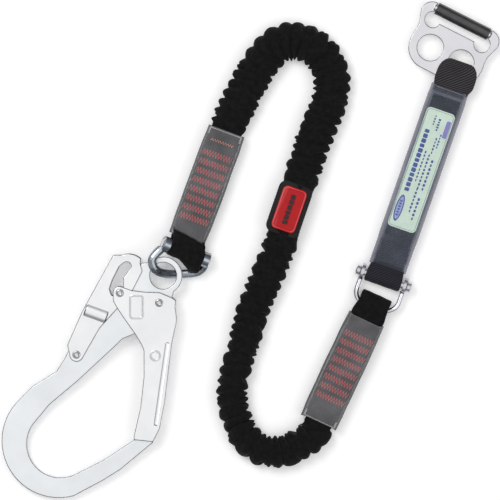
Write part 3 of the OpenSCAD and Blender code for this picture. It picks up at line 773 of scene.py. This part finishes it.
def clear_cover(name, to_world, length, width, height, lip, seed, sag):
    """A soft clear tube: wavy walls, curved ends, 0.7 mm thick."""
    wall = 0.7
    rings_out = []
    rings_in = []
    steps = 56
    for i in range(steps + 1):
        share = i / steps
        y = -length * share
        pinch = 1 - 0.05 * (1 - ease(share, 0, 0.2)) - 0.03 * ease(share, 0.85, 1)
        outer = []
        inner = []
        for x, z in cover_section(width, height, lip):
            wave = 0.55 * noise.noise(Vector((x * 0.09 + seed, z * 0.2, y * 0.045)))
            grow = 1 + wave / (width / 2)
            curve = sag * (1 - (2 * x / width) ** 2) * (1 - ease(share, 0, 0.25))
            curve -= 0.6 * sag * (1 - (2 * x / width) ** 2) * ease(share, 0.8, 1)
            bow = 0.35 * wave * (1 if z > 0 else -1)
            outer.append(to_world(x * pinch * grow, y - curve, z + bow))
            inner.append(to_world(x * pinch * grow * (1 - wall / (width / 2)), y - curve,
                                  (z + bow) * (1 - wall / height)))
        rings_out.append(outer)
        rings_in.append(inner)
    builder = Builder()
    builder.skin(rings_out + rings_in[::-1] + rings_out[:1], capped=False)
    return builder


def flat_hook_end(x, y, z):
    return at(AT_HOOK_END, x, y, z)


hook_tacks = bar_tacks("hook_end_tacks", flat_hook_end, marker=True)
absorber_tacks = bar_tacks("absorber_end_tacks", absorber_end_point)
hook_cover = clear_cover("hook_end_film", flat_hook_end, COVER_LENGTH, 35, 7.2, 0.6, 4.0, 1.5)
hook_cover = hook_cover.finish("hook_end_film", [END_FILM])
absorber_end_film = clear_cover("absorber_end_film", absorber_end_point, COVER_LENGTH, 35, 7.2, 1.6, 11.0, 4)
absorber_end_film = absorber_end_film.finish("absorber_end_film", [END_FILM])

for thing, node, slot in (
    (hook_loop, "hook_end_loop", "black_webbing"),
    (hook_tacks, "hook_end_stitching", "red_thread"),
    (hook_cover, "hook_end_cover", "clear_cover"),
    (absorber_loop, "absorber_end_loop", "black_webbing"),
    (absorber_tacks, "absorber_end_stitching", "red_thread"),
    (absorber_end_film, "absorber_end_cover", "clear_cover"),
):
    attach(thing, "lanyard")
    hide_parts(node)

# ---------- shock absorber ----------

BOW_PIN_RADIUS = 3.5
PACK_START = 40.5
PACK_LENGTH = 131
PACK_WIDTH = 31
FOLD_PITCH = 2.2
FOLD_COUNT = 5
HOLE_AT = (1.5, 205.6)
FILM_START = 10
FILM_LENGTH = 171


def absorber_point(x, y, z):
    return at(AT_ABSORBER, x, y, z)


def mirrored_absorber(x, y, z):
    """The absorber's frame seen from its foot, so that a loop's end points away from the pack."""
    return at(AT_ABSORBER, -x, -y, z)


def lower_loop():
    builder = Builder()
    near = [(-PACK_START + 0.4, 2.8), (-24, 2.9), (-13, 3.4), (-6, 4.6)]
    turn = half_turn(0, BOW_PIN_RADIUS + 0.25 + 1.6)
    line = near + turn + [(y, -z) for y, z in reversed(near)]
    ribbon(builder, line, lambda t, y: 30.6 + 2.6 * ease(y, -14, 0), 3.2, mirrored_absorber, 0.3)
    return builder.finish("foot_loop", [NAVY_TWILL])


def upper_loop():
    builder = Builder()
    rim = 3.7
    top = [(172.2, 3), (179, 3.4), (186, rim), (196, rim), (202.6, rim - 0.1), (205.3, 2)]
    line = top + [(HOLE_AT[1] + 0.4, 0)] + [(y, -z) for y, z in reversed(top)]

    def width_at(share, y):
        bend = min(1, max(0, (y - 193) / 12.8))
        return 21 + (10.4 + 5 * ease(y, 177, 188)) * sqrt(1 - bend * bend)

    ribbon(builder, line, width_at, 2.1,
           lambda x, y, z: absorber_point(x + HOLE_AT[0] * ease(y, 175, 186), y, z), 0.25)
    return builder.finish("head_loop", [TWILL_WEBBING])


def tear_pack():
    """One strap folded back and forth, its folds at both ends."""
    builder = Builder()
    line = []
    low = PACK_START + FOLD_PITCH / 2
    high = PACK_START + PACK_LENGTH - FOLD_PITCH / 2
    bottom = -(FOLD_COUNT - 1) / 2 * FOLD_PITCH
    for i in range(FOLD_COUNT):
        z = bottom + i * FOLD_PITCH
        ends = (low, high) if i % 2 == 0 else (high, low)
        line += [(ends[0] + (ends[1] - ends[0]) * t, z) for t in (0.015, 0.25, 0.5, 0.75, 0.985)]
        if i < FOLD_COUNT - 1:
            way = 1 if i % 2 == 0 else -1
            line.append((ends[1] + 0.9 * way, z + FOLD_PITCH / 2))
    ribbon(builder, line, lambda t, y: PACK_WIDTH, 1.9, absorber_point, 0.06)
    return builder.finish("folded_tear_strap", [PACK_WEBBING])


def absorber_film():
    """The smoky sleeve: shrunk over the pack, flat welded edges, dipped ends."""
    wall = 0.7
    rings_out = []
    rings_in = []
    steps = 110
    for i in range(steps + 1):
        share = i / steps
        y = FILM_START + FILM_LENGTH * share
        over_pack = ease(y, PACK_START - 9, PACK_START + 1)
        over_pack *= 1 - ease(y, PACK_START + PACK_LENGTH - 1, PACK_START + PACK_LENGTH + 5)
        height = 5.5 + 1.5 * over_pack
        width = 33.6 - 0.8 * (1 - over_pack)
        outer = []
        inner = []
        for x, z in rounded_outline(width, 2 * height, height * 0.7, 9):
            edge = ease(abs(x), width / 2 - 2.5, width / 2)
            weld = 1.7 * edge * (1 - abs(z) / height) ** 2
            wave = noise.noise(Vector((x * 0.11, z * 0.3 + 5, y * 0.06)))
            crease = (1 - over_pack) * noise.noise(Vector((x * 0.05 + 2, z * 0.1, y * 0.16)))
            lift = (0.25 * wave + 0.7 * crease) * (1 if z > 0 else -1) * (1 - edge)
            wide = x + weld * (1 if x > 0 else -1)
            dip = 4.2 * (1 - (2 * x / width) ** 2)
            slide = -dip * ease(share, 0.93, 1) + 0.7 * dip * (1 - ease(share, 0, 0.07))
            outer.append(absorber_point(wide, y + slide, z + lift))
            inner.append(absorber_point(wide * (1 - wall / (width / 2)), y + slide,
                                        (z + lift) * (1 - wall / height)))
        rings_out.append(outer[::-1])
        rings_in.append(inner[::-1])
    builder = Builder()
    builder.skin(rings_out + rings_in[::-1] + rings_out[:1], capped=False)
    return builder.finish("smoke_film", [SMOKE_FILM])


LABEL_MIDDLE = (-0.5, 103.2)
GREEN_WIDTH = 26.8
GREEN_LENGTH = 112.6
PACK_TOP = (FOLD_COUNT - 1) / 2 * FOLD_PITCH + 1
GREEN, LINE, BLUE, VIOLET, SKY = range(5)


def absorber_label():
    """A pale green label with a border, a plain oval badge and rows of meaningless bars."""
    builder = Builder()

    def spot(x, y):
        x += LABEL_MIDDLE[0]
        y += LABEL_MIDDLE[1]
        return lambda px, py, pz: absorber_point(x + px, y + py, PACK_TOP + pz)

    def bar(x, y, width, length, slot):
        outline = rounded_outline(width, length, min(width, length) * 0.25, 3)
        builder.prism(outline, spot(x, y), 0.4, 0.46, 0, slot)

    for inset, radius, low, high, bevel, slot in (
        (0, 4, 0.05, 0.35, 0.1, GREEN),
        (2.2, 3.2, 0.3, 0.38, 0, LINE),
        (3, 2.8, 0.3, 0.42, 0, GREEN),
    ):
        outline = rounded_outline(GREEN_WIDTH - inset, GREEN_LENGTH - inset, radius, 6)
        builder.prism(outline, spot(0, 0), low, high, bevel, slot)
    badge = [(3.5 * cos(a), 12.4 * sin(a)) for a in (2 * pi * k / 40 for k in range(40))]
    inside = [(2.4 * cos(a), 10.6 * sin(a)) for a in (2 * pi * k / 40 for k in range(40))]
    builder.prism(badge, spot(-7.6, -38.5), 0.4, 0.45, 0, BLUE)
    builder.prism(inside, spot(-7.6, -38.5), 0.4, 0.455, 0, SKY)
    for i in range(6):
        bar(-7.6, -45 + 2.6 * i, 2.2, 1.7, BLUE)
    for i in range(13):
        length = 4 if i % 3 else 3.3
        bar(-6.6, -20.5 + 4.6 * i, 4.2, length, BLUE)
    rows = ((-1.6, -12, 30, 1.2, 9), (2.2, -40, 24, 1.5, 7), (2.4, -18, 34, 1.5, 10), (6.6, -46, 22, 1.7, 6),
            (6.8, -18, 30, 1.7, 8), (-3.4, 41, 10, 1.2, 4), (1, 37, 12, 1.9, 5), (6.4, 22, 14, 1.2, 5),
            (3.6, 16, 16, 1.2, 5))
    for x, start, span, width, count in rows:
        for k in range(count):
            size = span / count
            bar(x, start + size * (k + 0.5), 1.2 * width * (1 if k % 3 else 0.7), size * 0.68, BLUE)
    builder.prism(rounded_outline(4, 16, 1, 3), spot(9.6, 41), 0.4, 0.46, 0, VIOLET)
    inks = [LABEL_GREEN, LABEL_LINE, LABEL_BLUE, LABEL_VIOLET, LABEL_SKY]
    return builder.finish("pale_label", inks, smooth=False)


for thing, node, slot in (
    (lower_loop(), "absorber_lower_loop", "black_webbing"),
    (upper_loop(), "absorber_upper_loop", "black_webbing"),
    (tear_pack(), "tear_webbing", "pack_webbing"),
    (absorber_film(), "absorber_cover", "smoke_cover"),
    (absorber_label(), "absorber_label", "green_label"),
):
    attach(thing, "absorber")
    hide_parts(node)

# ---------- metal parts keep their CAD shapes ----------

FINISHES = {
    "hook_body": FORGED,
    "hook_gate": PRESSED,
    "safety_lever": PRESSED,
    "gate_pivot_rivet": RIVET,
    "gate_guide_rivet": RIVET,
    "lever_pivot_rivet": RIVET,
    "gate_washers": DARK_STEEL,
    "gate_spring": DARK_STEEL,
    "lever_spring": DARK_STEEL,
    "hook_shackle_bow": DULL_ZINC,
    "hook_shackle_pin": RIVET,
    "absorber_shackle_bow": BRIGHT,
    "absorber_shackle_pin": BRIGHT,
    "belt_plate": PLATE,
    "roller_sleeve": ROLLER_BLACK,
}


def dress(node, material):
    """Gives a CAD node its material, on every slot that it has."""
    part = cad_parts[node]
    if not part.material_slots:
        part.data.materials.append(material)
    for material_slot in part.material_slots:
        material_slot.material = material


for node, material in FINISHES.items():
    dress(node, material)

# ---------- floor and light ----------

FLOOR_SIZE = 6.0


def make_floor():
    mesh = bpy.data.meshes.new("floor")
    half = FLOOR_SIZE / 2
    corners = [(-half, -half, 0), (half, -half, 0), (half, half, 0), (-half, half, 0)]
    mesh.from_pydata(corners, [], [(0, 1, 2, 3)])
    floor = bpy.data.objects.new("floor", mesh)
    bpy.context.scene.collection.objects.link(floor)
    floor.location.z = -0.0003
    paper = Shading("floor_paper", (0.9, 0.9, 0.9), Roughness=0.9)
    grain = paper.noise(paper.solid(), 40, 3)
    shade = paper.ramp(grain, 0.2, 0.8, (0.9, 0.9, 0.9), (0.92, 0.92, 0.92))
    paper.link(shade, paper.shader.inputs["Base Color"])
    paper.set("Emission Color", (1, 1, 1, 1))
    paper.set("Emission Strength", 0.22)
    mesh.materials.append(paper.material)


def area_light(name, location, size, power):
    data = bpy.data.lights.new(name, "AREA")
    data.shape = "DISK"
    data.size = size
    data.energy = power
    lamp = bpy.data.objects.new(name, data)
    lamp.location = location
    lamp.rotation_euler = (-Vector(location)).to_track_quat("-Z", "Y").to_euler()
    bpy.context.scene.collection.objects.link(lamp)


def make_world():
    """A pale dome, bright overhead and dimmer towards the horizon."""
    world = bpy.data.worlds.new("dome")
    bpy.context.scene.world = world
    world.use_nodes = True
    nodes = world.node_tree.nodes
    links = world.node_tree.links
    where = nodes.new("ShaderNodeTexCoord")
    split = nodes.new("ShaderNodeSeparateXYZ")
    ramp = nodes.new("ShaderNodeValToRGB")
    links.new(where.outputs["Generated"], split.inputs["Vector"])
    links.new(split.outputs["Z"], ramp.inputs["Fac"])
    ramp.color_ramp.elements[0].position = 0.0
    ramp.color_ramp.elements[0].color = (0.1, 0.1, 0.105, 1)
    ramp.color_ramp.elements[1].position = 0.9
    ramp.color_ramp.elements[1].color = (1, 1, 1, 1)
    ring = ramp.color_ramp.elements.new(0.65)
    ring.color = (0.36, 0.36, 0.37, 1)
    links.new(ramp.outputs["Color"], nodes["Background"].inputs["Color"])
    nodes["Background"].inputs["Strength"].default_value = 1.05


make_floor()
make_world()
area_light("key", (-0.9, 0.9, 1.9), 1.2, 16)
area_light("fill", (1.4, -0.6, 1.6), 1.6, 7)
bpy.context.scene.view_settings.view_transform = "Standard"
